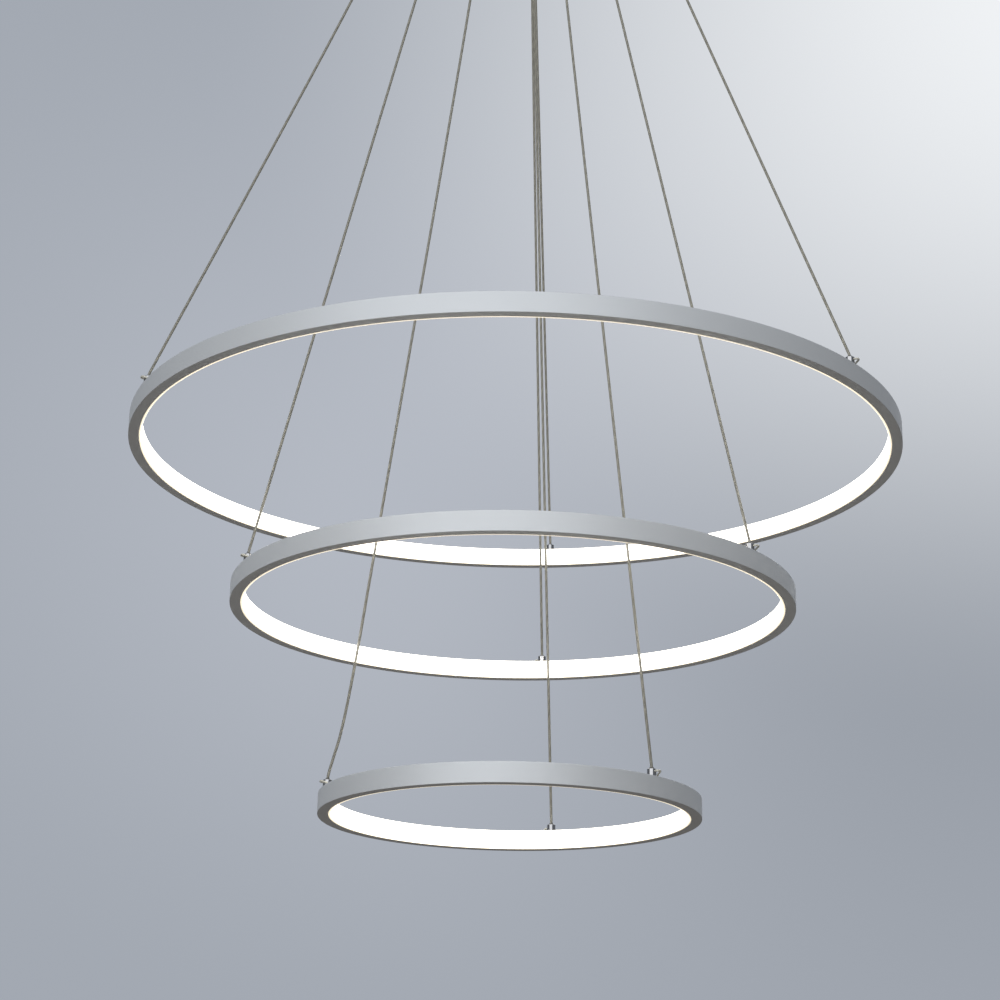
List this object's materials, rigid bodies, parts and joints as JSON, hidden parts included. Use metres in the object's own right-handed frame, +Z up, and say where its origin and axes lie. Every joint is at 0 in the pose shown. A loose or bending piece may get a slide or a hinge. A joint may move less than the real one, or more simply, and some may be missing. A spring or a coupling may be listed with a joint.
{
  "type": "led ring chandelier",
  "caption": "Pendant light of level lit rings of falling size, hung one below the other on thin cables from a round ceiling canopy.",
  "frame": {"origin": "middle of the ceiling plate's top face, in the plane of the ceiling", "axes": "+Z up into the ceiling, -Y towards the viewer, +X to the viewer's right"},
  "size_m": [0.7999, 0.8008, 1.308],
  "materials": {
    "silver_paint_aluminium": "satin silver-grey paint",
    "silver_paint_steel": "satin silver-grey paint",
    "opal_diffuser": "opal, lit from behind",
    "strip_board": "white flexible board",
    "led_package": "yellow phosphor",
    "zinc_steel": "zinc plated",
    "chrome": "polished",
    "dark_sleeve": "dark satin",
    "clear_cable": "clear jacket over metal strands",
    "grommet_rubber": "matt",
    "driver_plastic": "moulded white",
    "driver_board": "green board",
    "terminal_plastic": "moulded off-white",
    "brass": "plain",
    "mains_lead_jacket": "brown insulation"
  },
  "bodies": {
    "canopy": {"ceiling_plate": "zinc_steel", "canopy_cover": "silver_paint_steel", "cover_screws": "chrome", "mains_grommet": "grommet_rubber", "gripper_bodies": "chrome", "gripper_nuts": "zinc_steel", "driver_cases": "driver_plastic", "driver_lids": "driver_plastic", "driver_boards": "driver_board", "terminal_block": "terminal_plastic", "terminal_screws": "brass", "earth_screw": "zinc_steel", "mains_leads": "mains_lead_jacket", "feed_leads": "clear_cable", "large_far_cable": "clear_cable", "large_left_cable": "clear_cable", "large_right_cable": "clear_cable", "middle_far_cable": "clear_cable", "middle_left_cable": "clear_cable", "middle_right_cable": "clear_cable", "small_far_cable": "clear_cable", "small_left_cable": "clear_cable", "small_right_cable": "clear_cable"},
    "large_ring": {"large_ring_profile": "silver_paint_aluminium", "large_ring_diffuser": "opal_diffuser", "large_led_strip": "strip_board", "large_leds": "led_package", "large_splice": "zinc_steel", "large_ring_clamps": "chrome", "large_ring_clamp_nuts": "zinc_steel", "large_ring_nozzles": "dark_sleeve", "large_ring_cable_tails": "clear_cable"},
    "middle_ring": {"middle_ring_profile": "silver_paint_aluminium", "middle_ring_diffuser": "opal_diffuser", "middle_led_strip": "strip_board", "middle_leds": "led_package", "middle_splice": "zinc_steel", "middle_ring_clamps": "chrome", "middle_ring_clamp_nuts": "zinc_steel", "middle_ring_nozzles": "dark_sleeve", "middle_ring_cable_tails": "clear_cable"},
    "small_ring": {"small_ring_profile": "silver_paint_aluminium", "small_ring_diffuser": "opal_diffuser", "small_led_strip": "strip_board", "small_leds": "led_package", "small_splice": "zinc_steel", "small_ring_clamps": "chrome", "small_ring_clamp_nuts": "zinc_steel", "small_ring_nozzles": "dark_sleeve", "small_ring_cable_tails": "clear_cable"},
    "large_far_plunger": {"large_far_plunger": "chrome"},
    "large_left_plunger": {"large_left_plunger": "chrome"},
    "large_right_plunger": {"large_right_plunger": "chrome"},
    "middle_far_plunger": {"middle_far_plunger": "chrome"},
    "middle_left_plunger": {"middle_left_plunger": "chrome"},
    "middle_right_plunger": {"middle_right_plunger": "chrome"},
    "small_far_plunger": {"small_far_plunger": "chrome"},
    "small_left_plunger": {"small_left_plunger": "chrome"},
    "small_right_plunger": {"small_right_plunger": "chrome"}
  },
  "joints": [
    {"name": "large_ring_height", "type": "slide", "parent": "canopy", "child": "large_ring", "axis": [0, 0, 1], "range_m": [0, 0.3], "deforming": ["large_far_cable", "large_left_cable", "large_right_cable"]},
    {"name": "middle_ring_height", "type": "slide", "parent": "canopy", "child": "middle_ring", "axis": [0, 0, 1], "range_m": [0, 0.3], "deforming": ["middle_far_cable", "middle_left_cable", "middle_right_cable"]},
    {"name": "small_ring_height", "type": "slide", "parent": "canopy", "child": "small_ring", "axis": [0, 0, 1], "range_m": [0, 0.3], "deforming": ["small_far_cable", "small_left_cable", "small_right_cable"]},
    {"name": "large_far_release", "type": "slide", "parent": "canopy", "child": "large_far_plunger", "axis": [0, 0, 1], "range_m": [0, 0.0015], "stiffness_N_per_m": 60, "springref_m": -0.004},
    {"name": "large_left_release", "type": "slide", "parent": "canopy", "child": "large_left_plunger", "axis": [0, 0, 1], "range_m": [0, 0.0015], "stiffness_N_per_m": 60, "springref_m": -0.004},
    {"name": "large_right_release", "type": "slide", "parent": "canopy", "child": "large_right_plunger", "axis": [0, 0, 1], "range_m": [0, 0.0015], "stiffness_N_per_m": 60, "springref_m": -0.004},
    {"name": "middle_far_release", "type": "slide", "parent": "canopy", "child": "middle_far_plunger", "axis": [0, 0, 1], "range_m": [0, 0.0015], "stiffness_N_per_m": 60, "springref_m": -0.004},
    {"name": "middle_left_release", "type": "slide", "parent": "canopy", "child": "middle_left_plunger", "axis": [0, 0, 1], "range_m": [0, 0.0015], "stiffness_N_per_m": 60, "springref_m": -0.004},
    {"name": "middle_right_release", "type": "slide", "parent": "canopy", "child": "middle_right_plunger", "axis": [0, 0, 1], "range_m": [0, 0.0015], "stiffness_N_per_m": 60, "springref_m": -0.004},
    {"name": "small_far_release", "type": "slide", "parent": "canopy", "child": "small_far_plunger", "axis": [0, 0, 1], "range_m": [0, 0.0015], "stiffness_N_per_m": 60, "springref_m": -0.004},
    {"name": "small_left_release", "type": "slide", "parent": "canopy", "child": "small_left_plunger", "axis": [0, 0, 1], "range_m": [0, 0.0015], "stiffness_N_per_m": 60, "springref_m": -0.004},
    {"name": "small_right_release", "type": "slide", "parent": "canopy", "child": "small_right_plunger", "axis": [0, 0, 1], "range_m": [0, 0.0015], "stiffness_N_per_m": 60, "springref_m": -0.004}
  ]
}
